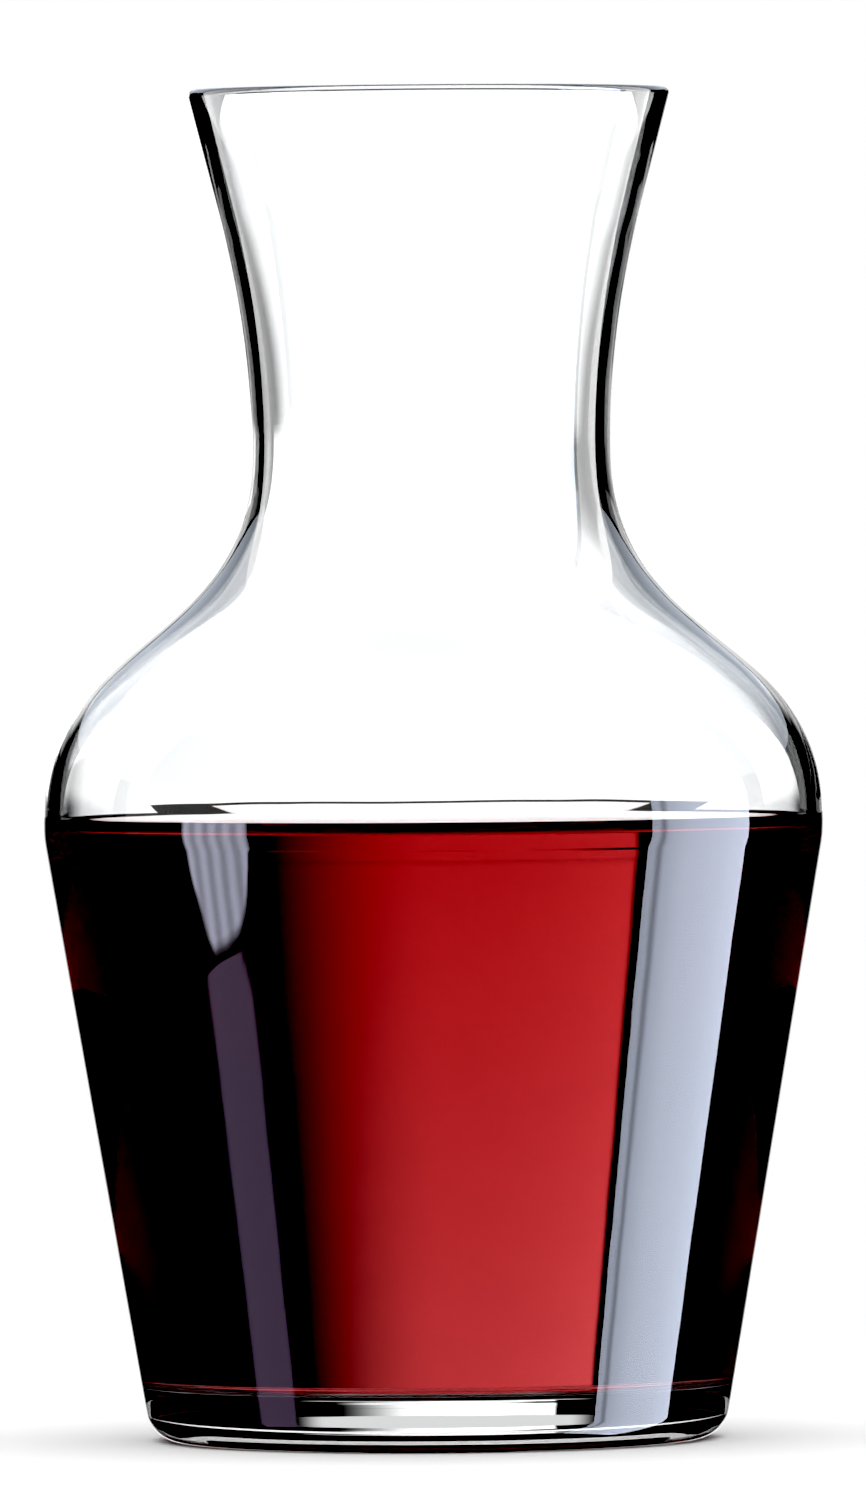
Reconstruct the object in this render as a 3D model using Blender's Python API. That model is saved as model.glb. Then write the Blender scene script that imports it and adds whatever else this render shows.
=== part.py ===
"""A one-litre bistro wine decanter: a heavy-based glass carafe and the red wine standing in it.

Run it with: blender --background --python part.py
Metres, +Z up. The origin is the centre of the base, on the table top.
"""

import math

import bmesh
import bpy
from mathutils import Matrix, Vector

# The outside of the glass: straight runs that meet at corners, and the radius that rounds each corner
HEIGHT = 0.215
HEEL_RADIUS = 0.0457
BELLY_CORNER_RADIUS = 0.0648
BELLY_CORNER_HEIGHT = 0.1118
THROAT_RADIUS = 0.02845
THROAT_FOOT_HEIGHT = 0.1411
THROAT_TOP_HEIGHT = 0.1758
LIP_RADIUS = 0.0386
HEEL_ROUND = 0.0055
BELLY_ROUND = 0.0290
THROAT_FOOT_ROUND = 0.0305
THROAT_TOP_ROUND = 0.1500

# How thick the glass is along each run
BASE_THICKNESS = 0.0092
BODY_WALL = 0.0023
SHOULDER_WALL = 0.0017
THROAT_WALL = 0.0025
FLARE_WALL = 0.0020
INNER_HEEL_ROUND = 0.0018
INNER_THROAT_ROUND = 0.0315
INNER_FLARE_ROUND = 0.1400
LIP_FILL = 0.46  # each edge of the lip is rounded by this share of the flare's wall

# Underneath: a flat ring that the decanter stands on, round a shallow push-up
STANDING_RING_RADIUS = 0.0315
STANDING_RING_ROUND = 0.0030
PUSH_UP_RADIUS = 0.0275
PUSH_UP_HEIGHT = 0.0016
PUSH_UP_ROUND = 0.0080
PUSH_UP_CROWN = 0.0024

# The wine
FILL_HEIGHT = 0.0974
WINE_GAP = 0.0003  # between the wine and the glass that holds it

# Clear soda-lime glass with the faintest blue in it, and deep red wine
GLASS_COLOUR = (0.95, 0.98, 0.985)
GLASS_ROUGHNESS = 0.02
GLASS_INDEX = 1.52
WINE_COLOUR = (0.30, 0.012, 0.016)
WINE_ROUGHNESS = 0
WINE_INDEX = 1.345

# How finely round shapes are cut
SEGMENTS = 60
ARC_ERROR = 0.00008  # the most that a chord may cut inside its arc
WELD_DISTANCE = 0.000001
SHARP_ANGLE = math.radians(40)

OUTER_CORNERS = [
    Vector((0, 0)),
    Vector((HEEL_RADIUS, 0)),
    Vector((BELLY_CORNER_RADIUS, BELLY_CORNER_HEIGHT)),
    Vector((THROAT_RADIUS, THROAT_FOOT_HEIGHT)),
    Vector((THROAT_RADIUS, THROAT_TOP_HEIGHT)),
    Vector((LIP_RADIUS, HEIGHT)),
]
WALLS = [BASE_THICKNESS, BODY_WALL, SHOULDER_WALL, THROAT_WALL, FLARE_WALL]


def crossing(point_a, along_a, point_b, along_b):
    """Where two lines of the outline's plane meet, each given by a point on it and its direction."""
    reach = (point_b - point_a).cross(along_b) / along_a.cross(along_b)
    return point_a + reach * along_a


def moved_in(corners, depths):
    """The corners of the same outline with each run between them moved in by its own depth."""
    runs = []
    for start, end, depth in zip(corners, corners[1:], depths):
        along = (end - start).normalized()
        inward = Vector((-along.y, along.x))
        runs.append((start + depth * inward, along))
    first, last = runs[0], runs[-1]
    axis_end = crossing(*first, corners[0], Vector((0, 1)))
    top_end = crossing(*last, corners[-1], Vector((1, 0)))
    joints = [crossing(*run, *following) for run, following in zip(runs, runs[1:])]
    return [axis_end, *joints, top_end]


def arc_at(before, corner, after, radius):
    """The points of the arc that rounds a corner, tangent to the runs on both sides of it."""
    arriving = (corner - before).normalized()
    leaving = (after - corner).normalized()
    turn = math.atan2(arriving.cross(leaving), arriving.dot(leaving))
    side = math.copysign(1, turn)
    start = corner - arriving * radius * math.tan(abs(turn) / 2)
    centre = start + radius * side * Vector((-arriving.y, arriving.x))
    steps = math.ceil(abs(turn) / (2 * math.acos(1 - min(ARC_ERROR / radius, 1))))
    return [
        centre + Matrix.Rotation(turn * step / steps, 2) @ (start - centre) for step in range(steps + 1)
    ]


def rounded(corners, radii):
    """The outline through the corners, with each one between the two ends turned into an arc."""
    outline = [corners[0]]
    for before, corner, after, radius in zip(corners, corners[1:], corners[2:], radii):
        outline += arc_at(before, corner, after, radius)
    return [*outline, corners[-1]]


def cut_level(outline, height):
    """The part of a rising outline below a height, closed by a level line to the axis."""
    kept = [point for point in outline if point.y < height]
    below, above = kept[-1], outline[len(kept)]
    edge = below.lerp(above, (height - below.y) / (above.y - below.y))
    return [*kept, edge, Vector((0, height))]


def underside():
    """The corners of the standing ring's inner edge and the push-up, from the ring to the axis."""
    return [
        Vector((STANDING_RING_RADIUS, 0)),
        Vector((PUSH_UP_RADIUS, PUSH_UP_HEIGHT)),
        Vector((0, PUSH_UP_CROWN)),
    ]


def glass_outline():
    """The whole section of the glass: up the inside, over the lip, down the outside and under the base."""
    inside = moved_in(OUTER_CORNERS, WALLS)
    outside = OUTER_CORNERS[:0:-1]
    inner_rounds = [
        INNER_HEEL_ROUND,
        BELLY_ROUND - BODY_WALL,
        INNER_THROAT_ROUND,
        INNER_FLARE_ROUND,
    ]
    lip_rounds = [LIP_FILL * FLARE_WALL] * 2
    outer_rounds = [THROAT_TOP_ROUND, THROAT_FOOT_ROUND, BELLY_ROUND, HEEL_ROUND]
    under_rounds = [STANDING_RING_ROUND, PUSH_UP_ROUND]
    return rounded(
        [*inside, *outside, *underside()], inner_rounds + lip_rounds + outer_rounds + under_rounds
    )


def wine_outline():
    """The section of the wine: the inside of the glass less a hair's gap, filled to a level surface."""
    corners = moved_in(OUTER_CORNERS, [wall + WINE_GAP for wall in WALLS])
    sides = rounded(corners[:4], [INNER_HEEL_ROUND - WINE_GAP, BELLY_ROUND - BODY_WALL - WINE_GAP])
    return cut_level(sides, FILL_HEIGHT)


def turned(name, outline, foot, material):
    """A solid of revolution about Z whose own origin is at the height of its foot."""
    form = bmesh.new()
    points = [form.verts.new((point.x, 0, point.y - foot)) for point in outline]
    edges = [form.edges.new(pair) for pair in zip(points, points[1:])]
    bmesh.ops.spin(
        form,
        geom=points + edges,
        cent=(0, 0, 0),
        axis=(0, 0, 1),
        angle=math.tau,
        steps=SEGMENTS,
        use_merge=True,
    )
    bmesh.ops.remove_doubles(form, verts=form.verts, dist=WELD_DISTANCE)
    bmesh.ops.recalc_face_normals(form, faces=form.faces)
    mesh = bpy.data.meshes.new(name)
    form.to_mesh(mesh)
    form.free()
    mesh.shade_smooth()
    mesh.set_sharp_from_angle(angle=SHARP_ANGLE)
    mesh.materials.append(material)
    solid = bpy.data.objects.new(name, mesh)
    solid.location.z = foot
    bpy.context.scene.collection.objects.link(solid)
    return solid


def clear_material(name, colour, roughness, index):
    """A see-through Principled material."""
    material = bpy.data.materials.new(name)
    material.use_nodes = True
    shader = material.node_tree.nodes["Principled BSDF"]
    shader.inputs["Base Color"].default_value = (*colour, 1)
    shader.inputs["Roughness"].default_value = roughness
    shader.inputs["Metallic"].default_value = 0
    shader.inputs["Transmission Weight"].default_value = 1
    shader.inputs["IOR"].default_value = index
    return material


def glass_material():
    """The polished glass of the body."""
    return clear_material("clear_glass", GLASS_COLOUR, GLASS_ROUGHNESS, GLASS_INDEX)


def wine_material():
    """The red wine."""
    return clear_material("red_wine", WINE_COLOUR, WINE_ROUGHNESS, WINE_INDEX)


def clear_scene():
    """Removes whatever the opened scene holds."""
    for existing in list(bpy.data.objects):
        bpy.data.objects.remove(existing, do_unlink=True)


def build():
    """The decanter, with the wine held by the glass."""
    clear_scene()
    body = turned("glass_body", glass_outline(), 0, glass_material())
    wine = turned("wine", wine_outline(), BASE_THICKNESS + WINE_GAP, wine_material())
    wine.parent = body


build()
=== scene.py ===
"""The looks of the wine decanter: smooth clear glass, red wine with its meniscus, and the studio round it.

Metres, +Z up. The camera stands on the -Y side, and angles round the decanter are counted from it.
"""

import math

import bmesh
import bpy
from mathutils import Matrix, Quaternion, Vector, noise

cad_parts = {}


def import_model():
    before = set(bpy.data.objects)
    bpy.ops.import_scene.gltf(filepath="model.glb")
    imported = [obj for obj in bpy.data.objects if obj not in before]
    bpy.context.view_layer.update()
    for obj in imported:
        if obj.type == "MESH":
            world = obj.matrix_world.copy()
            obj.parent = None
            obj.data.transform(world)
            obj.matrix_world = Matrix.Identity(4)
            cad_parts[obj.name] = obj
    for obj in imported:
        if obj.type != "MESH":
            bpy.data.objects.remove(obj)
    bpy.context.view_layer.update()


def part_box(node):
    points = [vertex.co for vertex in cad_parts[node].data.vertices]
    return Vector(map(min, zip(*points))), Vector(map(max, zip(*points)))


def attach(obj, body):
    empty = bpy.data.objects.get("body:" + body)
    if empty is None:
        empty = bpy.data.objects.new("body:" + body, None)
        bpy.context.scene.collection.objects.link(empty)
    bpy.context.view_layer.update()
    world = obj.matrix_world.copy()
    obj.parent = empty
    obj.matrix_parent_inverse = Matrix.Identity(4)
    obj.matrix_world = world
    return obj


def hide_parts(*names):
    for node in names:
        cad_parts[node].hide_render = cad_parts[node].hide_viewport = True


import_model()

# The outside of the glass: straight runs that meet at corners, and the radius that rounds each corner.
# The height is the frame's own.
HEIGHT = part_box("glass_body")[1][2]
HEEL_RADIUS = 0.0457
BELLY_CORNER_RADIUS = 0.0648
BELLY_CORNER_HEIGHT = 0.1118
THROAT_RADIUS = 0.02845
THROAT_FOOT_HEIGHT = 0.1411
THROAT_TOP_HEIGHT = 0.1758
LIP_RADIUS = 0.0386
HEEL_ROUND = 0.0055
BELLY_ROUND = 0.0290
THROAT_FOOT_ROUND = 0.0305
THROAT_TOP_ROUND = 0.1500

# How thick the glass is along each run
BASE_THICKNESS = 0.0092
BODY_WALL = 0.0023
SHOULDER_WALL = 0.0017
THROAT_WALL = 0.0025
FLARE_WALL = 0.0020
INNER_HEEL_ROUND = 0.0018
INNER_THROAT_ROUND = 0.0315
INNER_FLARE_ROUND = 0.1400
LIP_FILL = 0.46  # each edge of the lip is rounded by this share of the flare's wall

# Underneath: a flat ring that the decanter stands on, round a shallow push-up
STANDING_RING_RADIUS = 0.0315
STANDING_RING_ROUND = 0.0030
PUSH_UP_RADIUS = 0.0275
PUSH_UP_HEIGHT = 0.0016
PUSH_UP_ROUND = 0.0080
PUSH_UP_CROWN = 0.0024

# The wine: its level is the frame's own. It wets the glass a little way up, in a concave curve.
FILL_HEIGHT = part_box("wine")[1][2]
MENISCUS_RISE = 0.0020
MENISCUS_REACH = 0.0058
MENISCUS_POWER = 4
MENISCUS_STEPS = 16
WETTING = 0.00012  # how far the wine's side lies inside the glass, so that no air shows between them

# How finely round shapes are cut
SEGMENTS = 192
ARC_ERROR = 0.000008  # the most that a chord may cut inside its arc
WELD_DISTANCE = 0.000001

# Between two heights the wall's outline has points at even steps, and its curvature is smoothed over a few of
# them to each side
SOFT_FOOT = 0.016
SOFT_TOP = 0.208
WALL_STEP = 0.0012
SOFT_REACH = 4

# The slow unevenness of blown glass, mostly on the inside, where no mould touched it
INSIDE_WAVE = 0.00012
OUTSIDE_WAVE = 0.000025
WAVE_LENGTHS = Vector((0.024, 0.024, 0.060))
WAVE_FOOT = 0.012
WAVE_TOP = 0.205
WAVE_FADE = 0.015

# The glass: its colour and index of refraction, and its finish, whose scales are in waves per metre
GLASS_COLOUR = (0.985, 0.996, 1.0, 1)
GLASS_INDEX = 1.52
SMEAR_SCALE = 30
SMEAR_DETAIL = 4
SMEAR_START = 0.5
SMEAR_ROUGHNESS = 0.06
RIPPLE_SCALE = 110
RIPPLE_DETAIL = 0
RIPPLE_HEIGHT = 0.00002

# The wine: what it lets through, and how strongly it takes up the rest
WINE_COLOUR = (0.72, 0.13, 0.152, 1)
WINE_DENSITY = 44
WINE_INDEX = 1.345

WHITE = (1, 1, 1, 1)
BLACK = (0, 0, 0, 1)

# Which faces of the glass count as wetted: those that look in or up, above this share of the base's thickness
LOOKS_UP = 0.5
FLOOR_SHARE = 0.9

# The studio's cards are upright and curved round the decanter. Angles are in degrees from the camera's side,
# positive to its right, and heights are in metres.
CARD_STEPS = 80
BEHIND = 180

# The backdrop has one patch for the empty glass, one above it for the wine, and one above that for the base.
# Angles here are to the left of straight behind. Light that crosses the wine or the base swaps sides.
BACKDROP_DISTANCE = 6.0
BACKDROP_FOOT = -1.0
BACKDROP_TOP = 1.3
BACKDROP_STRENGTH = 1.25
GLASS_PATCH_HALF = 14.0
GLASS_PATCH_EDGE = 6.0
GLASS_PATCH_TOP = 0.08
WINE_PATCH_FOOT = 0.16
WINE_PATCH_RIGHT = -13.4
WINE_PATCH_LEFT = 16.0
WINE_PATCH_FADE = 14.2
WINE_PATCH_GAIN = 1.56
WINE_PATCH_TOP = 0.68
BASE_PATCH_FOOT = 0.76
BASE_PATCH_RIGHT = -20.5
BASE_PATCH_LEFT = 23.5
BASE_PATCH_EDGE = 5.0
BASE_PATCH_GAIN = 0.62

# The wine's patch is brighter higher up, because that light has the longest way through the wine
SLOPE_FOOT = 0.38
SLOPE_MIDDLE = 0.56
SLOPE = 1.6

# The right softbox is dimmer towards the camera and has a seam
SOFTBOX_ANGLES = (65.5, 104)
SOFTBOX_NEAR_LEVEL = 0.72
SOFTBOX_RISE = 16
SEAM_ANGLE = 69.5
SEAM_HALF = 2.0
SEAM_DEPTH = 0.5

# The left strip narrows towards its top
STRIP_ANGLES = (-76, -58)
STRIP_OUTER_EDGE = 2.0
STRIP_INNER_EDGE = 1.5
NARROWING_FOOT = -0.23
NARROWING_HEIGHT = 0.10
NARROWING = 12

# In front of it hangs a card that is black but for a streaky glow, which ends below in a rounded tip
DRIP_ANGLES = (-73.5, -51.5)
DRIP_OUTER_EDGE = 1.5
DRIP_INNER_EDGE = 1.0
TIP_ANGLE = -67
TIP_HEIGHT = -0.006
TIP_RISE = 0.030
TIP_EDGE = 0.004
TIP_INNER_REACH = 15.5
TIP_INNER_POWER = 6
TIP_OUTER_REACH = 7
TIP_OUTER_POWER = 1.5
STREAK_LEVEL = 0.80
STREAK_DEPTH = 0.20
STREAK_RATE = 1.4

# The glows beside the neck fade out towards their feet
GLOW_FOOT = 0.104
GLOW_TOP = 0.5
GLOW_FADE = 0.025

# The floor and the light overhead
FLOOR_RADIUS = 0.33
FLOOR_SEGMENTS = 96
FLOOR_COLOUR = (0.9, 0.9, 0.9, 1)
FLOOR_ROUGHNESS = 0.9
CEILING_SIZE = 6.0
CEILING_HEIGHT = 2.4
CEILING_GLOW = 2.2

# How light is followed, and the level below which the picture is black
BOUNCES = 24
BLACK_LEVEL = 0.016

# The camera
CAMERA_DISTANCE = 3.0
CAMERA_ELEVATION = math.radians(1.0)
CAMERA_ROLL = math.radians(0.42)
AIM_HEIGHT = 0.1097
FRAME_HEIGHT = 0.2388  # how much of the aim point's plane the picture's height takes in
SENSOR_MM = 36
NEAREST_SEEN = 0.1
FARTHEST_SEEN = 50

OUTER_CORNERS = [
    Vector((0, 0)),
    Vector((HEEL_RADIUS, 0)),
    Vector((BELLY_CORNER_RADIUS, BELLY_CORNER_HEIGHT)),
    Vector((THROAT_RADIUS, THROAT_FOOT_HEIGHT)),
    Vector((THROAT_RADIUS, THROAT_TOP_HEIGHT)),
    Vector((LIP_RADIUS, HEIGHT)),
]
WALLS = [BASE_THICKNESS, BODY_WALL, SHOULDER_WALL, THROAT_WALL, FLARE_WALL]


def eased(share):
    """A share held between 0 and 1 and eased at both ends."""
    share = min(max(share, 0), 1)
    return share * share * (3 - 2 * share)


# Outlines


def crossing(point_a, along_a, point_b, along_b):
    """Where two lines of the outline's plane meet, each given by a point on it and its direction."""
    reach = (point_b - point_a).cross(along_b) / along_a.cross(along_b)
    return point_a + reach * along_a


def moved_in(corners, depths):
    """The corners of the same outline with each run between them moved in by its own depth."""
    runs = []
    for start, end, depth in zip(corners, corners[1:], depths):
        along = (end - start).normalized()
        inward = Vector((-along.y, along.x))
        runs.append((start + depth * inward, along))
    first, last = runs[0], runs[-1]
    axis_end = crossing(*first, corners[0], Vector((0, 1)))
    top_end = crossing(*last, corners[-1], Vector((1, 0)))
    joints = [crossing(*run, *following) for run, following in zip(runs, runs[1:])]
    return [axis_end, *joints, top_end]


def arc_at(before, corner, after, radius):
    """The points of the arc that rounds a corner, tangent to the runs on both sides of it."""
    arriving = (corner - before).normalized()
    leaving = (after - corner).normalized()
    turn = math.atan2(arriving.cross(leaving), arriving.dot(leaving))
    side = math.copysign(1, turn)
    start = corner - arriving * radius * math.tan(abs(turn) / 2)
    centre = start + radius * side * Vector((-arriving.y, arriving.x))
    steps = math.ceil(abs(turn) / (2 * math.acos(1 - ARC_ERROR / radius)))
    return [centre + Matrix.Rotation(turn * step / steps, 2) @ (start - centre) for step in range(steps + 1)]


def rounded(corners, radii):
    """The outline through the corners, with each one between the two ends turned into an arc."""
    outline = [corners[0]]
    for before, corner, after, radius in zip(corners, corners[1:], corners[2:], radii):
        outline += arc_at(before, corner, after, radius)
    return [*outline, corners[-1]]


def evened(outline, step):
    """The same outline with points at equal steps along it, ends kept."""
    lengths = [0]
    for start, end in zip(outline, outline[1:]):
        lengths.append(lengths[-1] + (end - start).length)
    count = math.ceil(lengths[-1] / step)
    points = []
    run = 0
    for index in range(count):
        place = lengths[-1] * index / count
        while lengths[run + 1] <= place:
            run += 1
        share = (place - lengths[run]) / (lengths[run + 1] - lengths[run])
        points.append(outline[run].lerp(outline[run + 1], share))
    return [*points, outline[-1]]


def relaxed(outline, reach):
    """An evened outline with its curvature smoothed over a reach of steps to each side, ends kept."""
    last = len(outline) - 1
    points = []
    for index in range(last + 1):
        near = min(reach, index, last - index)
        around = outline[index - near : index + near + 1]
        points.append(sum(around, Vector((0, 0))) / len(around))
    return points


def split_between(outline, low, high):
    """The outline's points below, between and above two heights, for a run that rises all the way."""
    below = [point for point in outline if point.y < low]
    between = [point for point in outline if low <= point.y <= high]
    above = [point for point in outline if point.y > high]
    return below, between, above


def softened(outline):
    """A rising outline whose wall has no sudden change of curvature between the heel and the lip."""
    below, wall, above = split_between(outline, SOFT_FOOT, SOFT_TOP)
    wall = relaxed(relaxed(evened(wall, WALL_STEP), SOFT_REACH), SOFT_REACH)
    return [*below, *wall, *above]


def inner_rounds(depth=0):
    """The radii of the inside's corners, or those of an outline a depth inside the glass."""
    return [
        INNER_HEEL_ROUND + depth,
        BELLY_ROUND - BODY_WALL + depth,
        INNER_THROAT_ROUND - depth,
        INNER_FLARE_ROUND - depth,
    ]


def inside_outline(depth=0):
    """The inside of the glass from the axis up to the lip's top, or an outline a depth inside the glass."""
    corners = moved_in(OUTER_CORNERS, [wall - depth for wall in WALLS])
    return softened(rounded(corners, inner_rounds(depth)))


def outside_outline():
    """The outside of the glass from the middle of the base up to the lip's top."""
    return softened(rounded(OUTER_CORNERS, [HEEL_ROUND, BELLY_ROUND, THROAT_FOOT_ROUND, THROAT_TOP_ROUND]))


def lip_outline():
    """The lip, from the top of the inside run over to the top of the outside run."""
    inner_top = moved_in(OUTER_CORNERS, WALLS)[-2:]
    outer_top = OUTER_CORNERS[:-3:-1]
    bead = rounded([*inner_top, *outer_top], [LIP_FILL * FLARE_WALL] * 2)
    return bead[1:-1]


def base_outline():
    """Under the base: the standing ring's inner edge and the push-up, in to the axis."""
    corners = [
        Vector((HEEL_RADIUS - HEEL_ROUND, 0)),
        Vector((STANDING_RING_RADIUS, 0)),
        Vector((PUSH_UP_RADIUS, PUSH_UP_HEIGHT)),
        Vector((0, PUSH_UP_CROWN)),
    ]
    return rounded(corners, [STANDING_RING_ROUND, PUSH_UP_ROUND])


def glass_outline():
    """The whole section of the glass: up the inside, over the lip, down the outside and under the base."""
    lip = lip_outline()
    inside = [point for point in inside_outline() if point.y < lip[0].y]
    outside = [point for point in outside_outline() if 0 < point.y < lip[-1].y]
    return [*inside, *lip, *outside[::-1], *base_outline()]


def split_at(outline, height):
    """The part of a rising outline below a height, ending exactly on it."""
    kept = [point for point in outline if point.y < height]
    below, above = kept[-1], outline[len(kept)]
    return [*kept, below.lerp(above, (height - below.y) / (above.y - below.y))]


def meniscus(edge):
    """The wine's surface from where it wets the glass in to the axis."""
    curve = []
    for step in range(1, MENISCUS_STEPS + 1):
        share = step / MENISCUS_STEPS
        height = FILL_HEIGHT + MENISCUS_RISE * (1 - share) ** MENISCUS_POWER
        curve.append(Vector((edge.x - MENISCUS_REACH * share, height)))
    return [*curve, Vector((0, FILL_HEIGHT))]


def wine_outline():
    """The wine's section: the inside of the glass, a hair deeper, closed by its surface."""
    side = split_at(inside_outline(WETTING), FILL_HEIGHT + MENISCUS_RISE)
    return [*side, *meniscus(side[-1])]


# Meshes


def wave(point):
    """The slow unevenness of blown glass at a point, from -1 to 1, fading out at the heel and the lip."""
    fade = eased((point.z - WAVE_FOOT) / WAVE_FADE) * eased((WAVE_TOP - point.z) / WAVE_FADE)
    return fade * noise.noise(Vector(place / length for place, length in zip(point, WAVE_LENGTHS)))


def make_uneven(piece, all_inside):
    """Moves a wall's points in and out by the waves, less on the outside, which a mould has touched."""
    points = [vertex.co.copy() for vertex in piece.data.vertices]
    normals = [vertex.normal.copy() for vertex in piece.data.vertices]
    for vertex, point, normal in zip(piece.data.vertices, points, normals):
        away = Vector((point.x, point.y, 0)).normalized()
        inside = all_inside or normal.dot(away) < 0
        vertex.co = point + away * wave(point) * (INSIDE_WAVE if inside else OUTSIDE_WAVE)


def turned(name, outline):
    """A mesh of revolution about Z, closed on the axis."""
    form = bmesh.new()
    points = [form.verts.new((point.x, 0, point.y)) for point in outline]
    edges = [form.edges.new(pair) for pair in zip(points, points[1:])]
    bmesh.ops.spin(
        form,
        geom=points + edges,
        cent=(0, 0, 0),
        axis=(0, 0, 1),
        angle=math.tau,
        steps=SEGMENTS,
        use_merge=True,
    )
    bmesh.ops.remove_doubles(form, verts=form.verts, dist=WELD_DISTANCE)
    bmesh.ops.recalc_face_normals(form, faces=form.faces)
    mesh = bpy.data.meshes.new(name)
    form.to_mesh(mesh)
    form.free()
    mesh.shade_smooth()
    piece = bpy.data.objects.new(name, mesh)
    bpy.context.scene.collection.objects.link(piece)
    return piece


def wet(body):
    """Gives the second of the glass's materials to the faces that the wine lies against."""
    contact_height = FILL_HEIGHT + MENISCUS_RISE
    for face in body.data.polygons:
        middle = face.center
        looks_in = face.normal.x * middle.x + face.normal.y * middle.y < 0
        looks_up = face.normal.z > LOOKS_UP
        at_wine = BASE_THICKNESS * FLOOR_SHARE < middle.z < contact_height
        if at_wine and (looks_in or looks_up):
            face.material_index = 1


def make_glass():
    """The glass body, uneven as blown glass is."""
    body = turned("glass", glass_outline())
    make_uneven(body, all_inside=False)
    body.data.materials.append(glass_material())
    body.data.materials.append(wetted_glass_material())
    wet(body)
    return body


def make_wine():
    """The wine, from the floor of the glass to the edge of its meniscus."""
    fill = turned("wine_fill", wine_outline())
    make_uneven(fill, all_inside=True)
    fill.data.materials.append(wine_material())
    return fill


# Materials


def clear_shader(name, index):
    """A new see-through material, with its Principled node."""
    material = bpy.data.materials.new(name)
    material.use_nodes = True
    shader = material.node_tree.nodes["Principled BSDF"]
    shader.inputs["Roughness"].default_value = 0
    shader.inputs["Transmission Weight"].default_value = 1
    shader.inputs["IOR"].default_value = index
    return material, shader


def add_noise(material, scale, detail):
    """A noise texture in the piece's own metres, with scale waves to each."""
    nodes, links = material.node_tree.nodes, material.node_tree.links
    place = nodes.new("ShaderNodeTexCoord")
    made = nodes.new("ShaderNodeTexNoise")
    made.inputs["Scale"].default_value = scale
    made.inputs["Detail"].default_value = detail
    links.new(place.outputs["Object"], made.inputs["Vector"])
    return made


def add_smears(material, shader):
    """Patches where handling has left the polish a hair duller."""
    nodes, links = material.node_tree.nodes, material.node_tree.links
    patches = add_noise(material, SMEAR_SCALE, SMEAR_DETAIL)
    dullness = nodes.new("ShaderNodeMapRange")
    dullness.inputs["From Min"].default_value = SMEAR_START
    dullness.inputs["To Max"].default_value = SMEAR_ROUGHNESS
    links.new(patches.outputs["Fac"], dullness.inputs["Value"])
    links.new(dullness.outputs["Result"], shader.inputs["Roughness"])


def add_ripples(material, shader):
    """The shallow ripples that blowing and fire-polishing leave in a surface."""
    nodes, links = material.node_tree.nodes, material.node_tree.links
    heights = add_noise(material, RIPPLE_SCALE, RIPPLE_DETAIL)
    bump = nodes.new("ShaderNodeBump")
    bump.inputs["Distance"].default_value = RIPPLE_HEIGHT
    links.new(heights.outputs["Fac"], bump.inputs["Height"])
    links.new(bump.outputs["Normal"], shader.inputs["Normal"])


def glass_material():
    """Polished soda-lime glass, with a trace of blue, ripples and smears."""
    material, shader = clear_shader("polished_glass", GLASS_INDEX)
    shader.inputs["Base Color"].default_value = GLASS_COLOUR
    add_smears(material, shader)
    add_ripples(material, shader)
    return material


def wetted_glass_material():
    """The glass where wine lies against it, which mirrors next to nothing."""
    material, shader = clear_shader("wetted_glass", GLASS_INDEX)
    shader.inputs["Base Color"].default_value = WHITE
    shader.inputs["Specular Tint"].default_value = BLACK
    return material


def wine_material():
    """Red wine, which takes up light along its way through it."""
    material, shader = clear_shader("red_wine", WINE_INDEX)
    shader.inputs["Base Color"].default_value = WHITE
    shader.inputs["Specular Tint"].default_value = BLACK
    absorption = material.node_tree.nodes.new("ShaderNodeVolumeAbsorption")
    absorption.inputs["Color"].default_value = WINE_COLOUR
    absorption.inputs["Density"].default_value = WINE_DENSITY
    output = material.node_tree.nodes["Material Output"]
    material.node_tree.links.new(absorption.outputs["Volume"], output.inputs["Volume"])
    return material


def glow_material(name, strength, colour):
    """An emitter for a card, whose strength is scaled by the mesh's own glow values."""
    material = bpy.data.materials.new(name)
    material.use_nodes = True
    nodes, links = material.node_tree.nodes, material.node_tree.links
    nodes.clear()
    output = nodes.new("ShaderNodeOutputMaterial")
    glow = nodes.new("ShaderNodeEmission")
    level = nodes.new("ShaderNodeAttribute")
    level.attribute_name = "glow"
    gain = nodes.new("ShaderNodeMath")
    gain.operation = "MULTIPLY"
    gain.inputs[1].default_value = strength
    glow.inputs["Color"].default_value = colour
    links.new(level.outputs["Fac"], gain.inputs[0])
    links.new(gain.outputs["Value"], glow.inputs["Strength"])
    links.new(glow.outputs["Emission"], output.inputs["Surface"])
    return material


# Studio


def card(name, distance, angles, heights, strength, colour=WHITE, level=None):
    """An upright curved card round the decanter, seen only through and in the glass.

    level gives the card's glow, as a share of its strength, at an angle and a height.
    """
    form = bmesh.new()
    glow = form.verts.layers.float.new("glow")
    rows = []
    for row in range(CARD_STEPS + 1):
        height = heights[0] + (heights[1] - heights[0]) * row / CARD_STEPS
        points = []
        for step in range(CARD_STEPS + 1):
            angle = angles[0] + (angles[1] - angles[0]) * step / CARD_STEPS
            place = math.radians(angle)
            vertex = form.verts.new((distance * math.sin(place), -distance * math.cos(place), height))
            vertex[glow] = level(angle, height) if level else 1
            points.append(vertex)
        rows.append(points)
    for lower, upper in zip(rows, rows[1:]):
        for step in range(CARD_STEPS):
            form.faces.new((lower[step], lower[step + 1], upper[step + 1], upper[step]))
    mesh = bpy.data.meshes.new(name)
    form.to_mesh(mesh)
    form.free()
    mesh.materials.append(glow_material(name, strength, colour))
    made = bpy.data.objects.new(name, mesh)
    made.visible_camera = False
    made.visible_diffuse = False
    made.visible_shadow = False
    bpy.context.scene.collection.objects.link(made)
    return made


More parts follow.
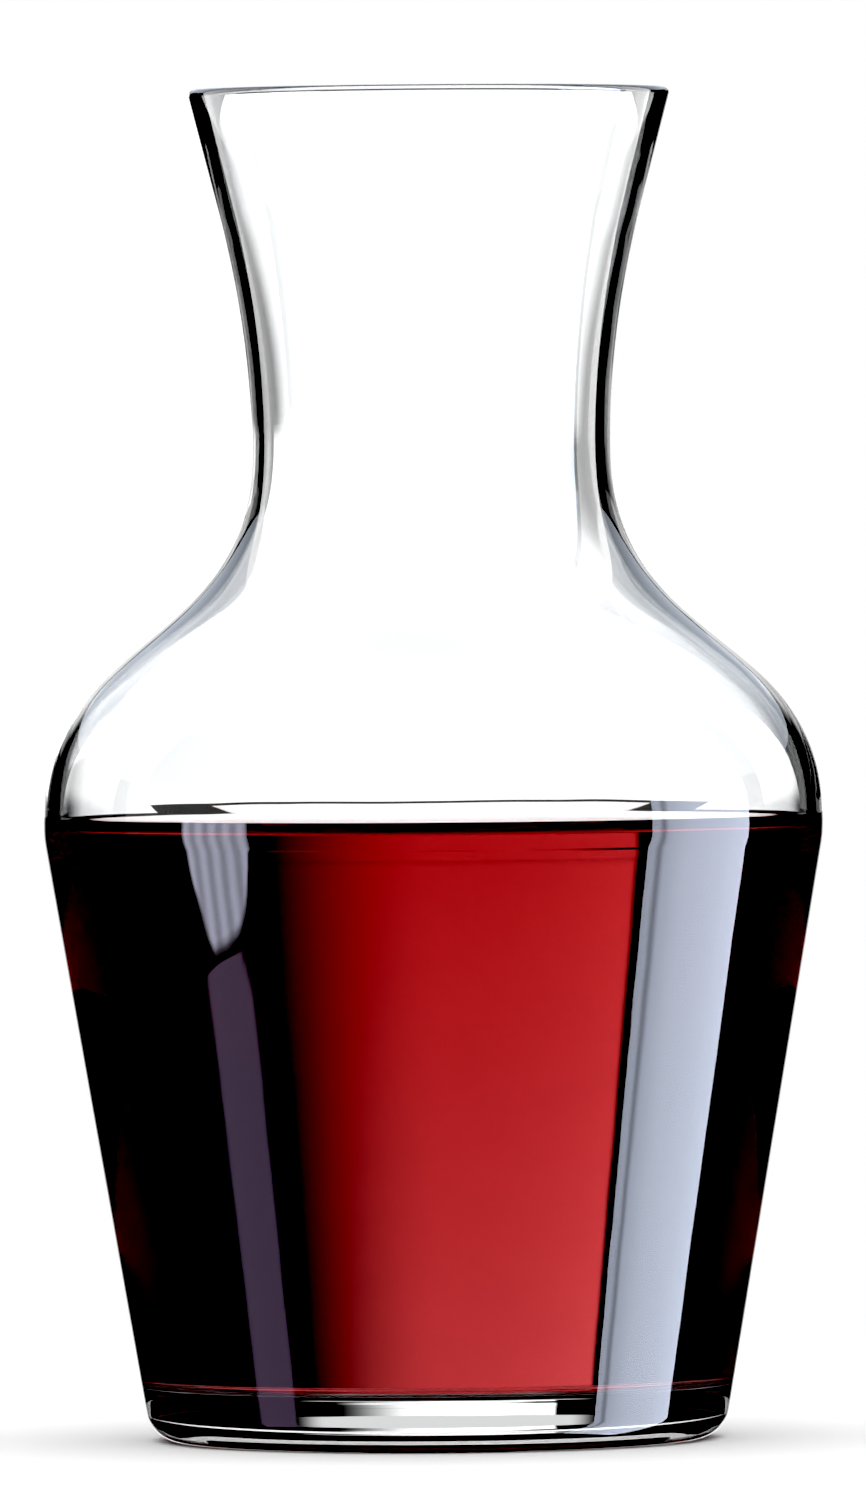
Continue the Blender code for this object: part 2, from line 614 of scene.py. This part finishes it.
def backdrop_level(angle, height):
    """The backdrop's glow: its patch for the empty glass, with those for the wine and the base above it."""
    left = angle - BEHIND
    for_glass = eased((GLASS_PATCH_HALF - abs(left)) / GLASS_PATCH_EDGE)
    for_wine = WINE_PATCH_GAIN * eased((left - WINE_PATCH_RIGHT) / WINE_PATCH_FADE)
    if height > SLOPE_FOOT:
        for_wine *= 1 + SLOPE * (height - SLOPE_MIDDLE)
    if left > WINE_PATCH_LEFT:
        for_wine = 0
    base_right_edge = eased((left - BASE_PATCH_RIGHT) / BASE_PATCH_EDGE)
    base_left_edge = eased((BASE_PATCH_LEFT - left) / BASE_PATCH_EDGE)
    for_base = BASE_PATCH_GAIN * base_right_edge * base_left_edge
    wine_share = eased((height - GLASS_PATCH_TOP) / (WINE_PATCH_FOOT - GLASS_PATCH_TOP))
    base_share = eased((height - WINE_PATCH_TOP) / (BASE_PATCH_FOOT - WINE_PATCH_TOP))
    level = for_glass + (for_wine - for_glass) * wine_share
    return level + (for_base - level) * base_share


def softbox_level(angle, height):
    """The right softbox's glow: dimmer towards the camera, with a thin seam."""
    seam = 1 - SEAM_DEPTH * eased(1 - abs(angle - SEAM_ANGLE) / SEAM_HALF)
    rise = eased((angle - SOFTBOX_ANGLES[0]) / SOFTBOX_RISE)
    return seam * (SOFTBOX_NEAR_LEVEL + (1 - SOFTBOX_NEAR_LEVEL) * rise)


def strip_level(angle, height):
    """The left strip's glow: soft at both sides, and narrower towards its top."""
    outer, inner = STRIP_ANGLES
    narrowing = NARROWING * eased((height - NARROWING_FOOT) / NARROWING_HEIGHT)
    return eased((angle - outer) / STRIP_OUTER_EDGE) * eased((inner - narrowing - angle) / STRIP_INNER_EDGE)


def drip_level(angle, height):
    """The glow on the card before the strip: streaky, and ending below in a tip nearer its outer side."""
    outer, inner = DRIP_ANGLES
    if angle > TIP_ANGLE:
        foot = TIP_HEIGHT + TIP_RISE * ((angle - TIP_ANGLE) / TIP_INNER_REACH) ** TIP_INNER_POWER
    else:
        foot = TIP_HEIGHT + TIP_RISE * ((TIP_ANGLE - angle) / TIP_OUTER_REACH) ** TIP_OUTER_POWER
    streaks = STREAK_LEVEL + STREAK_DEPTH * math.cos(angle * STREAK_RATE)
    sides = eased((inner - angle) / DRIP_INNER_EDGE) * eased((angle - outer) / DRIP_OUTER_EDGE)
    return streaks * sides * eased((height - foot) / TIP_EDGE)


def glow_level(angle, height):
    """The glow beside the neck: it fades out towards its foot."""
    return eased((height - GLOW_FOOT) / GLOW_FADE)


def floor():
    """A plain pale floor, small enough that it doesn't light up the neck's edges."""
    form = bmesh.new()
    bmesh.ops.create_circle(form, cap_ends=True, radius=FLOOR_RADIUS, segments=FLOOR_SEGMENTS)
    mesh = bpy.data.meshes.new("floor")
    form.to_mesh(mesh)
    form.free()
    material = bpy.data.materials.new("pale_floor")
    material.use_nodes = True
    shader = material.node_tree.nodes["Principled BSDF"]
    shader.inputs["Base Color"].default_value = FLOOR_COLOUR
    shader.inputs["Roughness"].default_value = FLOOR_ROUGHNESS
    shader.inputs["Specular IOR Level"].default_value = 0
    mesh.materials.append(material)
    made = bpy.data.objects.new("floor", mesh)
    made.visible_glossy = False
    bpy.context.scene.collection.objects.link(made)


def ceiling_light():
    """One large soft light overhead."""
    light = bpy.data.lights.new("ceiling", "AREA")
    light.shape = "SQUARE"
    light.size = CEILING_SIZE
    light.energy = CEILING_SIZE * CEILING_SIZE * math.pi * CEILING_GLOW
    lamp = bpy.data.objects.new("ceiling", light)
    lamp.location.z = CEILING_HEIGHT
    lamp.visible_camera = False
    lamp.visible_transmission = False
    bpy.context.scene.collection.objects.link(lamp)


def world():
    """White where the camera looks past everything, dark for all other rays."""
    made = bpy.data.worlds.new("studio")
    made.use_nodes = True
    nodes, links = made.node_tree.nodes, made.node_tree.links
    nodes.clear()
    output = nodes.new("ShaderNodeOutputWorld")
    dark = nodes.new("ShaderNodeBackground")
    dark.inputs["Color"].default_value = BLACK
    white = nodes.new("ShaderNodeBackground")
    white.inputs["Color"].default_value = WHITE
    path = nodes.new("ShaderNodeLightPath")
    mix = nodes.new("ShaderNodeMixShader")
    links.new(path.outputs["Is Camera Ray"], mix.inputs[0])
    links.new(dark.outputs["Background"], mix.inputs[1])
    links.new(white.outputs["Background"], mix.inputs[2])
    links.new(mix.outputs["Shader"], output.inputs["Surface"])
    bpy.context.scene.world = made


def camera():
    """A long lens, a little above the decanter's middle and tipped by a hair."""
    data = bpy.data.cameras.new("camera")
    data.sensor_width = SENSOR_MM
    data.lens = data.sensor_width * CAMERA_DISTANCE / FRAME_HEIGHT
    data.clip_start = NEAREST_SEEN
    data.clip_end = FARTHEST_SEEN
    made = bpy.data.objects.new("camera", data)
    back = Vector((0, -math.cos(CAMERA_ELEVATION), math.sin(CAMERA_ELEVATION)))
    made.location = Vector((0, 0, AIM_HEIGHT)) + back * CAMERA_DISTANCE
    roll = Quaternion(back, -CAMERA_ROLL)
    made.rotation_mode = "QUATERNION"
    made.rotation_quaternion = roll @ (-back).to_track_quat("-Z", "Y")
    bpy.context.scene.collection.objects.link(made)
    bpy.context.scene.camera = made


def transmitted_cards():
    """The cards that are seen through the glass. The backdrop is mirrored in it too."""
    card(
        "backdrop",
        distance=BACKDROP_DISTANCE,
        angles=(BEHIND + BASE_PATCH_RIGHT, BEHIND + BASE_PATCH_LEFT),
        heights=(BACKDROP_FOOT, BACKDROP_TOP),
        strength=BACKDROP_STRENGTH,
        level=backdrop_level,
    )
    for panel in (
        card("surround", distance=6.1, angles=(-105, 105), heights=(1.4, -6.0), strength=1.0),
        card("back_foot", distance=6.1, angles=(105, 255), heights=(-1.9, -6.0), strength=1.0),
    ):
        panel.visible_glossy = False


def mirrored_cards():
    """The cards that are mirrored in the glass. The nearer ones hide what is behind them."""
    for box in (
        card(
            "right_softbox",
            distance=1.0,
            angles=SOFTBOX_ANGLES,
            heights=(-1.2, 1.0),
            strength=11.7,
            colour=(0.75, 0.82, 1.0, 1),
            level=softbox_level,
        ),
        card(
            "left_strip",
            distance=1.0,
            angles=STRIP_ANGLES,
            heights=(-0.5, 0.1),
            strength=1.5,
            colour=(0.86, 0.62, 1.0, 1),
            level=strip_level,
        ),
        card(
            "left_strip_top",
            distance=0.35,
            angles=(-78, -51),
            heights=(-0.0080, 0.11),
            strength=9.0,
            colour=(0.78, 0.80, 1.0, 1),
            level=drip_level,
        ),
        card(
            "sky",
            distance=1.5,
            angles=(95, 265),
            heights=(0.45, 2.2),
            strength=1.4,
            colour=(0.80, 0.88, 1.0, 1),
        ),
        card(
            "right_glow",
            distance=0.25,
            angles=(BEHIND - 77, BEHIND - 54),
            heights=(GLOW_FOOT, GLOW_TOP),
            strength=4.5,
            level=glow_level,
        ),
        card(
            "left_glow",
            distance=0.25,
            angles=(BEHIND + 51, BEHIND + 82),
            heights=(GLOW_FOOT, GLOW_TOP),
            strength=3.0,
            level=glow_level,
        ),
    ):
        box.visible_transmission = False


def studio():
    """Everything that isn't the decanter."""
    floor()
    ceiling_light()
    world()
    transmitted_cards()
    mirrored_cards()


def render_settings():
    """Plain colours, and enough bounces for light to find its way through glass and wine."""
    scene = bpy.context.scene
    scene.view_settings.view_transform = "Standard"
    scene.view_settings.use_curve_mapping = True
    scene.view_settings.curve_mapping.black_level = [BLACK_LEVEL] * 3
    scene.view_settings.curve_mapping.update()
    scene.cycles.max_bounces = BOUNCES
    scene.cycles.transmission_bounces = BOUNCES


glass = make_glass()
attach(glass, "root")
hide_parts("glass_body")
wine = make_wine()
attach(wine, "root")
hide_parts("wine")
studio()
render_settings()
camera()
